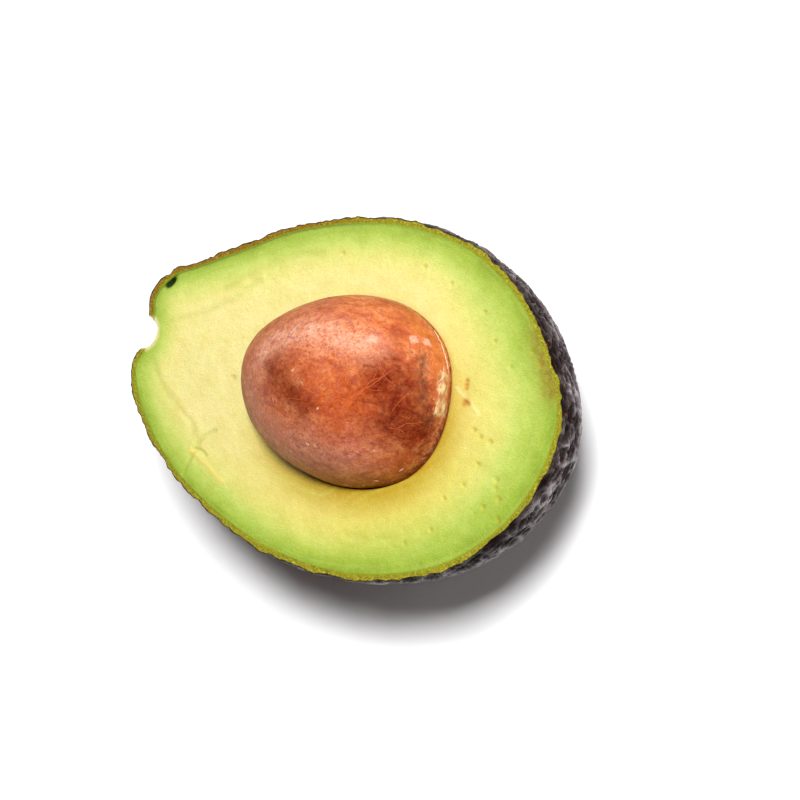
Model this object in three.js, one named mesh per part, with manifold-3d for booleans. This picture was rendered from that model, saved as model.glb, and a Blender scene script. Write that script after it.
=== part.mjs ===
// Half of a ripe avocado with its stone, lying on its rind with the cut face up and level.
// Millimetres. +X points from the stem end to the wide end, +Z is up, and the origin is on the
// small flat spot under the fruit.

import * as THREE from "three";
import { mergeVertices } from "three/addons/utils/BufferGeometryUtils.js";
import Module from "manifold-3d";

const wasm = await Module();
wasm.setup();

// The cut face

// Outer edge of the rind on the cut face, counter-clockwise from the tip of the wide end.
const FACE_OUTLINE = [
  [47.1, 0], [45.7, 8.4], [40.6, 16.2], [31.6, 25.6], [18.6, 32.7], [3, 35.1], [-12, 33.4], [-26.5, 28.9],
  [-37.5, 23], [-46.5, 18.4], [-55.4, 13.4], [-57.9, 8], [-56.9, 3.5], [-56.9, -2.5], [-58.3, -7],
  [-54.1, -15], [-43, -24.7], [-30, -31], [-14, -35.6], [3, -36.6], [18, -33.9], [31, -28.1],
  [40.8, -18.4], [45.8, -8],
];
const FACE_HEIGHT = 36.4; // cut face above the flat spot

// The body under the face

const DEPTH_PER_HALF_WIDTH = 1.045; // the cross-sections are a little deeper than half circles
const RIND_WALL = 1.2;
const GAP = 0.3; // clearance between pieces that touch

// The pebbles of the rind, larger than life

const PEBBLE_SPACING = 5.5;
const PEBBLE_HEIGHT = 0.85;
const PEBBLE_REACH = 0.78; // how far a pebble spreads from its centre, in spacings
const PEBBLE_STRETCH = 1.25; // pebbles are longer along the fruit than across it

// The pit left by the stem, which the cut goes through

const STEM_PIT = new THREE.Vector3(-57.3, 0.4, FACE_HEIGHT);
const STEM_PIT_RADII = new THREE.Vector3(3.5, 3.5, 4.2);

// The stone

const SEED_CENTRE = new THREE.Vector3(-2.7, 0.1, FACE_HEIGHT);
const SEED_RADII = new THREE.Vector3(24.1, 18.5, 19);
const SEED_TURN = 0.08; // how far its long axis is turned from X, in radians
const SEED_TAPER = 0.13; // the stone narrows towards the stem end and widens towards the other
const SEED_SWELL = 0.012; // low swellings, as a share of its radius
const SEED_SWELL_ALONG = 4; // how fast the swellings follow each other, in radians per radius
const SEED_SWELL_ACROSS = 5;
const SEED_SWELL_UP = 3;
const SEED_SWELL_START = 1;

// How finely each surface is divided: ring number k has 6k points

const RING_GROWTH = 6;
const RIND_OUTER_RINGS = 36;
const INNER_RINGS = 14;
const SEED_RINGS = 13;
const FACE_RINGS = 3;
const STEM_PIT_SIDES = 20;
const OUTLINE_STEPS = 720;
const RISE_STEP = 0.02; // steps used to measure the slope of a surface
const TURN_STEP = 0.005;

// Unrelated numbers that scatter the pebbles
const SCATTER = [127.1, 311.7, 74.7, 53.3];
const SCATTER_SCALE = 43758.5453;

const UP = new THREE.Vector3(0, 0, 1);

const RIND_COLOUR = 0x3b3430;
const FLESH_COLOUR = 0xd9dc86;
const SEED_COLOUR = 0x9a5632;

const outline = new THREE.CatmullRomCurve3(FACE_OUTLINE.map(([x, y]) => new THREE.Vector3(x, y, 0)), true);
outline.arcLengthDivisions = OUTLINE_STEPS;

// A point of the outline, moved inwards. The turn runs from 0 to 1 round the face.
function outlinePoint(turn, inset) {
  const wrapped = ((turn % 1) + 1) % 1;
  const along = outline.getTangentAt(wrapped);
  return outline.getPointAt(wrapped).add(new THREE.Vector3(-along.y, along.x, 0).multiplyScalar(inset));
}

// The fruit's surface at some depth under its skin, as a function of two numbers: rise runs from
// 0 at the bottom to 1 at the cut face, and turn runs round it. Every cross-section of the fruit
// is a half ellipse that hangs from the outline.
function fruitSurface(inset) {
  const edge = [];
  for (let i = 0; i < OUTLINE_STEPS; i += 1) {
    edge.push(outlinePoint(i / OUTLINE_STEPS, inset));
  }
  const floor = inset;

  function crossSection(x) {
    const crossings = [];
    edge.forEach((start, i) => {
      const end = edge[(i + 1) % edge.length];
      if ((start.x <= x) !== (end.x <= x)) {
        crossings.push(start.y + ((end.y - start.y) * (x - start.x)) / (end.x - start.x));
      }
    });
    if (crossings.length < 2) {
      return { middle: 0, halfWidth: 0 };
    }
    const top = Math.max(...crossings);
    const bottom = Math.min(...crossings);
    return { middle: (top + bottom) / 2, halfWidth: (top - bottom) / 2 };
  }

  return function place(rise, turn) {
    const point = outlinePoint(turn, inset).multiplyScalar(Math.sin((rise * Math.PI) / 2));
    if (rise >= 1) {
      return point.setZ(FACE_HEIGHT);
    }
    const { middle, halfWidth } = crossSection(point.x);
    const drop = Math.sqrt(Math.max(halfWidth ** 2 - (point.y - middle) ** 2, 0));
    return point.setZ(Math.max(FACE_HEIGHT - DEPTH_PER_HALF_WIDTH * drop, floor));
  };
}

// The direction straight out of a surface, which is level at the cut face.
function outwards(place, rise, turn) {
  const below = Math.max(rise - RISE_STEP, 0);
  const above = Math.min(rise + RISE_STEP, 1);
  const up = place(above, turn).sub(place(below, turn));
  const round = place(rise, turn + TURN_STEP).sub(place(rise, turn - TURN_STEP));
  const normal = round.cross(up);
  if (rise >= 1) {
    normal.z = 0;
  }
  return normal.lengthSq() > 0 ? normal.normalize() : new THREE.Vector3(0, 0, -1);
}

// A repeatable number from 0 to 1 for one cell of a grid.
function cellNumber(i, j, k, salt) {
  const sum = i * SCATTER[0] + j * SCATTER[1] + k * SCATTER[2] + salt * SCATTER[3];
  const mixed = Math.sin(sum) * SCATTER_SCALE;
  return mixed - Math.floor(mixed);
}

// How high the rind stands at a point, above or below its mean surface: one round pebble about a
// scattered centre in each cell.
function pebbleHeight(point) {
  const x = point.x / (PEBBLE_SPACING * PEBBLE_STRETCH);
  const y = point.y / PEBBLE_SPACING;
  const z = point.z / PEBBLE_SPACING;
  let nearest = Infinity;
  for (let i = Math.floor(x) - 1; i <= Math.floor(x) + 1; i += 1) {
    for (let j = Math.floor(y) - 1; j <= Math.floor(y) + 1; j += 1) {
      for (let k = Math.floor(z) - 1; k <= Math.floor(z) + 1; k += 1) {
        const dx = i + cellNumber(i, j, k, 1) - x;
        const dy = j + cellNumber(i, j, k, 2) - y;
        const dz = k + cellNumber(i, j, k, 3) - z;
        nearest = Math.min(nearest, Math.hypot(dx, dy, dz));
      }
    }
  }
  return PEBBLE_HEIGHT * (0.5 - Math.min(nearest / PEBBLE_REACH, 1) ** 2);
}

// The pebbled outside of the rind. The pebbles die out towards the flat spot, which stays level.
function pebbledSurface() {
  const smooth = fruitSurface(0);
  return function place(rise, turn) {
    const point = smooth(rise, turn);
    const share = Math.min(point.z / PEBBLE_HEIGHT, 1);
    point.addScaledVector(outwards(smooth, rise, turn), share * pebbleHeight(point));
    return point.setZ(Math.max(point.z, 0));
  };
}

// The stone's surface, or the hollow round it when it is grown. Height runs from -1 at the bottom
// through 0 on the cut face to 1 at the top.
function seedPoint(height, turn, grown) {
  const lift = (height * Math.PI) / 2;
  const angle = turn * 2 * Math.PI;
  const along = Math.cos(lift) * Math.cos(angle);
  const across = Math.cos(lift) * Math.sin(angle);
  const up = Math.sin(lift);
  const lengthwise = Math.sin(SEED_SWELL_ALONG * along + SEED_SWELL_START);
  const crosswise = Math.cos(SEED_SWELL_ACROSS * across + SEED_SWELL_UP * up);
  const swell = 1 + SEED_SWELL * lengthwise * crosswise;
  const girth = 1 + SEED_TAPER * along;
  return new THREE.Vector3(
    (SEED_RADII.x + grown) * along * swell,
    (SEED_RADII.y + grown) * across * swell * girth,
    (SEED_RADII.z + grown) * up * swell * girth,
  ).applyAxisAngle(UP, SEED_TURN).add(SEED_CENTRE);
}

// Rings of points that open from a single point, or close to one when reversed.
function openingRings(count, place) {
  const rings = [[place(0, 0)]];
  for (let k = 1; k <= count; k += 1) {
    const points = RING_GROWTH * k;
    rings.push(Array.from({ length: points }, (_, i) => place(k / count, i / points)));
  }
  return rings;
}

// A closed solid whose skin runs from ring to ring. The first and last rings are single points.
function solidFromRings(rings) {
  const starts = [];
  const coordinates = [];
  let total = 0;
  rings.forEach((ring) => {
    starts.push(total);
    total += ring.length;
    ring.forEach((point) => coordinates.push(point.x, point.y, point.z));
  });
  const triangles = [];
  for (let r = 0; r + 1 < rings.length; r += 1) {
    const here = rings[r].length;
    const next = rings[r + 1].length;
    const hereVertex = (i) => starts[r] + (i % here);
    const nextVertex = (j) => starts[r + 1] + (j % next);
    const hereEnd = here > 1 ? here : 0;
    const nextEnd = next > 1 ? next : 0;
    let i = 0;
    let j = 0;
    while (i < hereEnd || j < nextEnd) {
      if (i >= hereEnd || (j < nextEnd && (j + 1) * here <= (i + 1) * next)) {
        triangles.push(hereVertex(i), nextVertex(j + 1), nextVertex(j));
        j += 1;
      } else {
        triangles.push(hereVertex(i), hereVertex(i + 1), nextVertex(j));
        i += 1;
      }
    }
  }
  const geometry = new THREE.BufferGeometry();
  geometry.setAttribute("position", new THREE.Float32BufferAttribute(coordinates, 3));
  geometry.setIndex(triangles);
  return geometry;
}

function manifoldOf(geometry) {
  return new wasm.Manifold(new wasm.Mesh({
    numProp: 3,
    vertProperties: new Float32Array(geometry.getAttribute("position").array),
    triVerts: new Uint32Array(geometry.getIndex().array),
  }));
}

function stemPit() {
  const ball = new THREE.SphereGeometry(1, STEM_PIT_SIDES, STEM_PIT_SIDES / 2);
  ball.deleteAttribute("normal");
  ball.deleteAttribute("uv");
  ball.scale(STEM_PIT_RADII.x, STEM_PIT_RADII.y, STEM_PIT_RADII.z);
  ball.translate(STEM_PIT.x, STEM_PIT.y, STEM_PIT.z);
  return mergeVertices(ball);
}

function withoutStemPit(geometry) {
  const cut = manifoldOf(geometry).subtract(manifoldOf(stemPit())).getMesh();
  const result = new THREE.BufferGeometry();
  result.setAttribute("position", new THREE.BufferAttribute(cut.vertProperties, 3));
  result.setIndex(new THREE.BufferAttribute(cut.triVerts, 1));
  return result;
}

function rindGeometry() {
  const outside = openingRings(RIND_OUTER_RINGS, pebbledSurface());
  const inside = openingRings(INNER_RINGS, fruitSurface(RIND_WALL)).reverse();
  return withoutStemPit(solidFromRings([...outside, ...inside]));
}

// A point of the cut face, whose share runs from 0 at the rind to 1 at the stone's hollow.
function facePoint(share, turn) {
  return outlinePoint(turn, RIND_WALL + GAP).setZ(FACE_HEIGHT).lerp(seedPoint(0, turn, GAP), share);
}

function fleshGeometry() {
  const outside = openingRings(INNER_RINGS, fruitSurface(RIND_WALL + GAP));
  const hollow = openingRings(SEED_RINGS, (rise, turn) => seedPoint(rise - 1, turn, GAP)).reverse();
  const rim = outside[outside.length - 1];
  const lip = hollow[0];
  const face = [];
  for (let k = 1; k < FACE_RINGS; k += 1) {
    const share = k / FACE_RINGS;
    const points = Math.round(rim.length + (lip.length - rim.length) * share);
    face.push(Array.from({ length: points }, (_, i) => facePoint(share, i / points)));
  }
  return withoutStemPit(solidFromRings([...outside, ...face, ...hollow]));
}

function seedGeometry() {
  const lower = openingRings(SEED_RINGS, (rise, turn) => seedPoint(rise - 1, turn, 0));
  const upper = openingRings(SEED_RINGS, (rise, turn) => seedPoint(1 - rise, turn, 0)).reverse();
  return solidFromRings([...lower, ...upper.slice(1)]);
}

function piece(name, geometry, colour, roughness) {
  geometry.computeVertexNormals();
  const mesh = new THREE.Mesh(geometry, new THREE.MeshStandardMaterial({ color: colour, roughness, metalness: 0 }));
  mesh.name = name;
  return mesh;
}

const avocadoHalf = new THREE.Group();
avocadoHalf.add(
  piece("rind", rindGeometry(), RIND_COLOUR, 0.5),
  piece("flesh", fleshGeometry(), FLESH_COLOUR, 0.55),
  piece("seed", seedGeometry(), SEED_COLOUR, 0.6),
);

export default avocadoHalf;
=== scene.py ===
"""Half of a ripe avocado with its stone, lying on its rind on a pale studio floor."""

import math

import bpy
import numpy as np
from mathutils import Matrix, Vector


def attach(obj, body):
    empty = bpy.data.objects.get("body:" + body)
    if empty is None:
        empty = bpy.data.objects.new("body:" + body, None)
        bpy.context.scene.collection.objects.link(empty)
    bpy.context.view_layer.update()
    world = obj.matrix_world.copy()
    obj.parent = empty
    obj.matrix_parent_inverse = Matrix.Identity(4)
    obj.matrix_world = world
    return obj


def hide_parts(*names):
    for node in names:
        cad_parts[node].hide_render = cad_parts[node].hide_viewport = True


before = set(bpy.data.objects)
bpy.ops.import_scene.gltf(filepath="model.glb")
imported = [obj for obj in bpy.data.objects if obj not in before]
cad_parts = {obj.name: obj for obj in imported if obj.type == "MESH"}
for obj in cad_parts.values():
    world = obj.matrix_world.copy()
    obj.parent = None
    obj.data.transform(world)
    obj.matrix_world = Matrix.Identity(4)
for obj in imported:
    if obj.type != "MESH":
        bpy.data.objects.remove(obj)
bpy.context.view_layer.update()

# Driving dimensions, in millimetres: the solids' own, with the stone fitted a little closer to the view

MM = 0.001
FACE_OUTLINE = [
    (47.1, 0), (45.7, 8.4), (40.6, 16.2), (31.6, 25.6), (18.6, 32.7), (3, 35.1), (-12, 33.4), (-26.5, 28.9),
    (-37.5, 23), (-46.5, 18.4), (-55.4, 13.4), (-57.9, 8), (-56.9, 3.5), (-56.9, -2.5), (-58.3, -7),
    (-54.1, -15), (-43, -24.7), (-30, -31), (-14, -35.6), (3, -36.6), (18, -33.9), (31, -28.1),
    (40.8, -18.4), (45.8, -8),
]
FACE_HEIGHT = 36.4
DEPTH_PER_HALF_WIDTH = 1.045
RIND_WALL = 1.2
NECK_END = -57.6  # beyond this the outline is two lobes with the stem's notch between them
STEM_PIT = np.array([-57.3, 0.4, FACE_HEIGHT])
STEM_PIT_RADII = np.array([3.5, 3.5, 4.2])
SEED_CENTRE = np.array([-2.2, -0.1, FACE_HEIGHT])
SEED_RADII = np.array([24.0, 18.8, 19.0])
SEED_TURN = 0.05
SEED_TAPER = 0.13
SEED_SWELL = 0.012

# How finely each piece is divided

CURVE_STEPS = 60
SIDE_POINTS = 840
RIND_RINGS = 140
WALL_RINGS = 18  # between the last ring of the skin and the cut face, where the neck is steep
BAND_SHARES = (0.16, 0.33, 0.5, 0.67, 0.83, 0.96, 1)  # places of the rings across the rind's cut band
INNER_RINGS = 60
FACE_RINGS = 70
FIRST_FACE_SHARE = 0.003  # one more ring of the face, close to its edge, keeps the edge sharp
SEED_RINGS = 80
PIT_RINGS = 32
PIT_SIDES = 64
RISE_STEP = 0.02  # steps used to measure the slope of a surface
TURN_STEP = 0.005

# The rind's relief, in millimetres. The net of ridges follows the borders of scattered cells.

BEND = 1.1
BEND_SIZE = 4.0
LUMP_SIZE = np.array([6.4, 6.4, 4.2])
PEBBLE_SIZE = np.array([2.9, 2.9, 2.2])
BUMP_REACH = 0.8  # how far a lump or a pebble spreads from its centre, in its sizes
NET_SIZE = np.array([3.7, 3.7, 2.2])
RIDGE_WIDTH = 0.2  # in sizes of the net
RIDGE_MEAN = 0.25
LUMP_HEIGHT = 0.5
PEBBLE_HEIGHT = 0.15
RIDGE_HEIGHT = 0.75
GRAIN_HEIGHT = 0.05
CALM_DEPTH = 3  # over this depth under the cut face the net gives way to pebbles
MORE_PEBBLES = 0.2
LESS_RIDGES = 0.5
SOLE_HEIGHT = 0.8  # up to this height over the floor the relief fades, so that the fruit lies flat

# The rind's cut band, in millimetres

CRUMB_HEIGHT = 0.34
CRUMB_SIZE = 0.8
BAND_SLOPE = 0.1
BAND_TOP = 0.14

# The gap between the stone and the flesh, in millimetres, and where it is widest, in degrees

LEAST_GAP = 0.05
ADDED_GAP = 0.6
GAP_MIDDLE = -38
GAP_SPREAD = 40
HIDDEN_GAP = 0.3
FLESH_INSET = RIND_WALL + 0.04
LIP_DEPTH = 0.06  # of the hollow's lip under the cut face, as a share of the stone's height

# Numbers that scatter the noises

SCATTER = (127.1, 311.7, 74.7, 53.3)
SCATTER_SCALE = 43758.5453

# The camera

CAMERA_LENS = 100
CAMERA_DISTANCE = 440
CAMERA_ELEVATION = 56
CAMERA_ROLL = -75
MIDDLE_IN_VIEW = (-8.51, 1.78)  # where the middle of the cut face lies in the view, mm right and up

# The studio: the floor in millimetres, the lights in metres and watts

FLOOR_RADIUS = 4000
FLOOR_SIDES = 96
FLOOR_DROP = 0.1  # just clear of the fruit's flat spot
LIT_POINT = Vector((0, 0, 0.03))
LIGHT_SIZE = 0.4
WORLD_COLOUR = (1, 0.82, 0.78, 1)
WORLD_STRENGTH = 0.072


def cell_number(i, j, k, salt):
    """A repeatable number from 0 to 1 for each cell of a grid. The salt tells one noise from another."""
    mixed = np.sin(i * SCATTER[0] + j * SCATTER[1] + k * SCATTER[2] + salt * SCATTER[3]) * SCATTER_SCALE
    return mixed - np.floor(mixed)


def smooth_noise(points, size, salt):
    """Smooth noise from -1 to 1, with lumps about size wide. Size may hold a width for each axis."""
    grid = points / size
    cell = np.floor(grid)
    part = grid - cell
    part = part * part * (3 - 2 * part)
    total = np.zeros(len(points))
    for corner in range(8):
        step = np.array([corner & 1, corner >> 1 & 1, corner >> 2 & 1])
        share = np.prod(np.where(step, part, 1 - part), axis=1)
        total += share * cell_number(*(cell + step).T, salt)
    return 2 * total - 1


def rough_noise(points, size, salt, octaves):
    """Smooth noise with finer and weaker copies of itself added."""
    total = sum(smooth_noise(points, size / 2 ** n, salt + n) / 2 ** n for n in range(octaves))
    return total / (2 - 2 ** (1 - octaves))


def cell_distances(points, size, salt):
    """Distance, in cells, to the nearest and to the second nearest of scattered centres."""
    grid = points / size
    cell = np.floor(grid)
    nearest = np.full(len(points), 9.0)
    second = nearest.copy()
    for i in (-1, 0, 1):
        for j in (-1, 0, 1):
            for k in (-1, 0, 1):
                home = cell + (i, j, k)
                centre = home + np.stack([cell_number(*home.T, salt + n) for n in range(3)], axis=1)
                away = np.linalg.norm(centre - grid, axis=1)
                second = np.minimum(second, np.maximum(away, nearest))
                nearest = np.minimum(nearest, away)
    return nearest, second


def smooth_step(low, high, value):
    """0 below low, 1 above high, and smooth between them."""
    share = np.clip((value - low) / (high - low), 0, 1)
    return share * share * (3 - 2 * share)


def fading(away, width):
    """1 in the middle of a mark, fading to 0 about two widths away."""
    return np.exp(-(away / width) ** 2)


def curve_through(knots):
    """Dense points of a closed smooth curve through the knots, the same curve that the solids follow."""
    here = np.array(knots, float)
    before, after, beyond = np.roll(here, 1, 0), np.roll(here, -1, 0), np.roll(here, -2, 0)
    last = np.sqrt(np.linalg.norm(here - before, axis=1))[:, None]
    this = np.sqrt(np.linalg.norm(after - here, axis=1))[:, None]
    next_one = np.sqrt(np.linalg.norm(beyond - after, axis=1))[:, None]
    leave = ((here - before) / last - (after - before) / (last + this) + (after - here) / this) * this
    arrive = (
        (after - here) / this - (beyond - here) / (this + next_one) + (beyond - after) / next_one
    ) * this
    part = np.linspace(0, 1, CURVE_STEPS, endpoint=False)[None, :, None]
    square, cube = part ** 2, part ** 3
    dense = (
        here[:, None] * (2 * cube - 3 * square + 1) + after[:, None] * (3 * square - 2 * cube)
        + leave[:, None] * (cube - 2 * square + part) + arrive[:, None] * (cube - square)
    )
    return dense.reshape(-1, 2)


OUTLINE = curve_through(FACE_OUTLINE)
OUTLINE_STEPS = np.linalg.norm(np.roll(OUTLINE, -1, 0) - OUTLINE, axis=1)
OUTLINE_TURNS = np.concatenate([[0], np.cumsum(OUTLINE_STEPS)])
OUTLINE_TURNS = OUTLINE_TURNS / OUTLINE_TURNS[-1]
OUTLINE_INWARDS = np.roll(OUTLINE, -1, 0) - np.roll(OUTLINE, 1, 0)
OUTLINE_INWARDS = np.stack([-OUTLINE_INWARDS[:, 1], OUTLINE_INWARDS[:, 0]], axis=1)
OUTLINE_INWARDS = OUTLINE_INWARDS / np.linalg.norm(OUTLINE_INWARDS, axis=1)[:, None]


def outline_at(turn, inset):
    """Points of the outline, moved inwards. Turn runs from 0 to 1 round the face."""
    moved = OUTLINE + inset * OUTLINE_INWARDS
    closed = np.concatenate([moved, moved[:1]])
    turn = np.mod(turn, 1)
    return np.stack([np.interp(turn, OUTLINE_TURNS, closed[:, n]) for n in (0, 1)], axis=-1)


def fruit_surface(rise, turn, inset):
    """The fruit at some depth under its skin: rise runs from 0 at the bottom to 1 at the cut face.

    Every cross-section is a half ellipse that hangs from the outline.
    """
    edge = OUTLINE + inset * OUTLINE_INWARDS
    wide, narrow = edge[:, 0].argmax(), edge[:, 0].argmin()
    edge = np.roll(edge, -wide, 0)
    narrow = (narrow - wide) % len(edge)
    far_side = edge[: narrow + 1]
    near_side = edge[narrow:][::-1]
    flat = outline_at(turn, inset) * np.sin(np.minimum(rise, 1) * math.pi / 2)[:, None]
    along = np.maximum(flat[:, 0], NECK_END + inset)
    high = np.interp(along, np.minimum.accumulate(far_side[:, 0])[::-1], far_side[::-1, 1])
    low = np.interp(along, np.minimum.accumulate(near_side[:, 0])[::-1], near_side[::-1, 1])
    drop = np.sqrt(np.maximum(((high - low) / 2) ** 2 - (flat[:, 1] - (high + low) / 2) ** 2, 0))
    drop[rise >= 1] = 0
    return np.column_stack([flat, np.maximum(FACE_HEIGHT - DEPTH_PER_HALF_WIDTH * drop, inset)])


def outwards(rise, turn):
    """The direction straight out of the smooth skin, level at the cut face."""
    above = fruit_surface(np.minimum(rise + RISE_STEP, 1), turn, 0)
    under = fruit_surface(np.maximum(rise - RISE_STEP, 0), turn, 0)
    up = above - under
    along = fruit_surface(rise, turn + TURN_STEP, 0) - fruit_surface(rise, turn - TURN_STEP, 0)
    normal = np.cross(along, up)
    normal[rise >= 1, 2] = 0
    length = np.linalg.norm(normal, axis=1)[:, None]
    return np.where(length > 0, normal / np.maximum(length, 1e-9), (0, 0, -1))


def bumps(points, size, salt):
    """Round bumps about scattered centres, from 0.5 on top to -0.5 between them."""
    nearest = cell_distances(points, size, salt)[0]
    return 0.5 - np.minimum(nearest / BUMP_REACH, 1) ** 2


def skin_relief(points):
    """Height of the rind's lumps, pebbles and net of ridges above the smooth skin."""
    swerve = [smooth_noise(points, BEND_SIZE, salt) for salt in (21, 24, 27)]
    bent = points + BEND * np.stack(swerve, axis=1)
    nearest, second = cell_distances(bent, NET_SIZE, salt=31)
    ridges = fading(second - nearest, RIDGE_WIDTH) - RIDGE_MEAN
    at_face = smooth_step(FACE_HEIGHT - CALM_DEPTH, FACE_HEIGHT, points[:, 2])
    relief = LUMP_HEIGHT * bumps(bent, LUMP_SIZE, salt=1)
    relief += (PEBBLE_HEIGHT + MORE_PEBBLES * at_face) * bumps(bent, PEBBLE_SIZE, salt=5)
    relief += (RIDGE_HEIGHT - LESS_RIDGES * at_face) * ridges
    return relief + GRAIN_HEIGHT * smooth_noise(points, 0.7, salt=51)


def turned_about_up(angle):
    """The matrix that turns rows of points about the upright axis."""
    cosine, sine = math.cos(angle), math.sin(angle)
    return np.array([[cosine, sine, 0], [-sine, cosine, 0], [0, 0, 1]])


def seed_points(height, turn, grown):
    """The stone's surface, or the hollow round it when it is grown. Height runs from -1 to 1."""
    lift = height * math.pi / 2
    angle = turn * 2 * math.pi
    along = np.cos(lift) * np.cos(angle)
    across = np.cos(lift) * np.sin(angle)
    swell = 1 + SEED_SWELL * np.sin(4 * along + 1) * np.cos(5 * across + 3 * np.sin(lift))
    girth = 1 + SEED_TAPER * along
    unit = np.column_stack([along * swell, across * swell * girth, np.sin(lift) * swell * girth])
    grown = np.broadcast_to(grown, angle.shape)[:, None]
    return (unit * (SEED_RADII + grown)) @ turned_about_up(SEED_TURN) + SEED_CENTRE


def turns(count):
    """Even turns round a ring."""
    return np.arange(count) / count


def opening_rings(count, place):
    """Rings that open from one point: ring k has 6k points."""
    rings = [place(np.zeros(1), np.zeros(1))]
    for k in range(1, count + 1):
        rings.append(place(np.full(6 * k, k / count), turns(6 * k)))
    return rings


def zip_rings(rings):
    """Triangles, and quads between rings of one length, that join each ring to the next."""
    faces = []
    start = 0
    for here_ring, next_ring in zip(rings, rings[1:]):
        here, after = len(here_ring), len(next_ring)
        other = start + here
        if here == after:
            for i in range(here):
                after_i = (i + 1) % here
                faces.append((start + i, start + after_i, other + after_i, other + i))
            start = other
            continue
        i = j = 0
        here_end = here if here > 1 else 0
        after_end = after if after > 1 else 0
        while i < here_end or j < after_end:
            if i >= here_end or (j < after_end and (j + 1) * here <= (i + 1) * after):
                faces.append((start + i % here, other + (j + 1) % after, other + j % after))
                j += 1
            else:
                faces.append((start + i % here, start + (i + 1) % here, other + j % after))
                i += 1
        start = other
    return faces


def mesh_object(name, points, faces):
    """A mesh object from points in millimetres."""
    mesh = bpy.data.meshes.new(name)
    mesh.from_pydata((points * MM).tolist(), [], faces)
    mesh.validate()
    mesh.polygons.foreach_set("use_smooth", [True] * len(mesh.polygons))
    piece = bpy.data.objects.new(name, mesh)
    bpy.context.scene.collection.objects.link(piece)
    return piece


def ring_object(name, rings):
    """A closed mesh object whose skin runs from ring to ring."""
    return mesh_object(name, np.concatenate(rings), zip_rings(rings))


def points_of(piece):
    """A piece's vertices, in millimetres."""
    flat = np.empty(len(piece.data.vertices) * 3)
    piece.data.vertices.foreach_get("co", flat)
    return flat.reshape(-1, 3) / MM


def paint(piece, name, values):
    """Stores one number for each vertex, for a material to read."""
    layer = piece.data.attributes.new(name, "FLOAT", "POINT")
    layer.data.foreach_set("value", np.asarray(values, np.float32))


def pit_shape(points):
    """0 in the middle of the stem's pit and 1 on its wall."""
    return np.linalg.norm((points - STEM_PIT) / STEM_PIT_RADII, axis=1)


def stem_pit():
    """The slightly ragged ball that the stem's pit is cut with."""
    def place(rise, turn):
        lift = (rise - 0.5) * math.pi
        angle = turn * 2 * math.pi
        unit = np.column_stack([np.cos(lift) * np.cos(angle), np.cos(lift) * np.sin(angle), np.sin(lift)])
        ragged = 1 + 0.05 * smooth_noise(unit, 0.45, salt=61)
        return STEM_PIT + unit * STEM_PIT_RADII * ragged[:, None]

    around = turns(PIT_SIDES)
    rings = [place(np.zeros(1), np.zeros(1))]
    rings += [place(np.full(PIT_SIDES, k / PIT_RINGS), around) for k in range(1, PIT_RINGS)]
    rings.append(place(np.ones(1), np.zeros(1)))
    return ring_object("stem_pit_cutter", rings)


def cut_stem_pit(piece):
    """Cuts the stem's pit out of a piece."""
    cutter = stem_pit()
    cut = piece.modifiers.new("stem_pit", "BOOLEAN")
    cut.operation = "DIFFERENCE"
    cut.solver = "MANIFOLD"
    cut.object = cutter
    graph = bpy.context.evaluated_depsgraph_get()
    whole = piece.data
    piece.data = bpy.data.meshes.new_from_object(piece.evaluated_get(graph))
    piece.modifiers.clear()
    piece.data.name = piece.name
    piece.data.materials.clear()
    bpy.data.meshes.remove(whole)
    bpy.data.meshes.remove(cutter.data)


def nearest_distance(points, targets):
    """Distance from each point to the nearest target, worked out for some of the points at a time."""
    found = []
    for group in np.array_split(points, len(points) // 4000 + 1):
        away = ((group[:, None] - targets[None]) ** 2).sum(axis=2)
        found.append(np.sqrt(away.min(axis=1)))
    return np.concatenate(found)


def segment_distance(points, start, end):
    """Distance in the cut face from each point to a straight stroke."""
    start, end = np.array(start, float), np.array(end, float)
    along = np.clip(((points - start) @ (end - start)) / ((end - start) @ (end - start)), 0, 1)
    return np.linalg.norm(points - start - along[:, None] * (end - start), axis=1)


def stroke_distance(points, knots):
    """Distance in the cut face from each point to a bent stroke."""
    return np.minimum.reduce([segment_distance(points, a, b) for a, b in zip(knots, knots[1:])])


# Marks on the cut face, in millimetres. Each spot and pit is its place and its radius.

CRACK = [(-37.4, -26), (-36.6, -22.5), (-35.6, -19), (-34.2, -17), (-32, -15.4)]
CRACK_BRANCH = [(-36, -20.4), (-34.4, -20.2), (-32.8, -20.9)]
STREAK = [(-37, -20.8), (-32.3, -22.5), (-26.7, -25.2)]
KNIFE_ARCS = [
    [(-53, 3.4), (-48, 5.2), (-42, 7.9), (-36, 12), (-31, 16.5)],
    [(-39, 13.2), (-35, 16.6), (-31, 19.4), (-27, 21.8), (-22.5, 23.7), (-17, 25)],
    [(-53, -5), (-49.5, -9), (-44, -12.5), (-39, -15), (-36, -18)],
    [(6.2, -27.9), (12, -27.2), (17.7, -25.6)],
]
BROWN_SPOTS = [
    (24.3, 7.4, 0.6), (24.4, 6.6, 0.65), (24.6, 5.9, 0.5), (25.3, 3.4, 0.9), (25.0, 2.9, 0.7),
    (25.9, 3.2, 0.6),
]
PITS = [
    (36.3, -9.4, 0.8), (36.6, -11, 0.7), (37.9, -12.9, 0.8), (38.8, -16.6, 0.7), (35, -15, 0.6),
    (36.9, 15.6, 0.6), (38.9, 13.9, 0.8), (32.9, -2.8, 0.7), (30.5, -2.4, 0.6), (28.7, -1.4, 0.7),
    (25, -22, 0.6), (20, -26, 0.5), (33, 12, 0.5), (28, 16, 0.5), (24, 21, 0.6), (15, 25, 0.5),
    (-30.9, -4, 0.8), (8, 27, 0.6), (-12, 26, 0.5), (29.5, -12, 0.5), (26, -15.5, 0.5), (31.5, -7.5, 0.6),
]
MEMBRANE = [(22.6, 5.6), (24.0, 4.6), (26.8, 3.2), (28.9, 1.6)]
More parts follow.
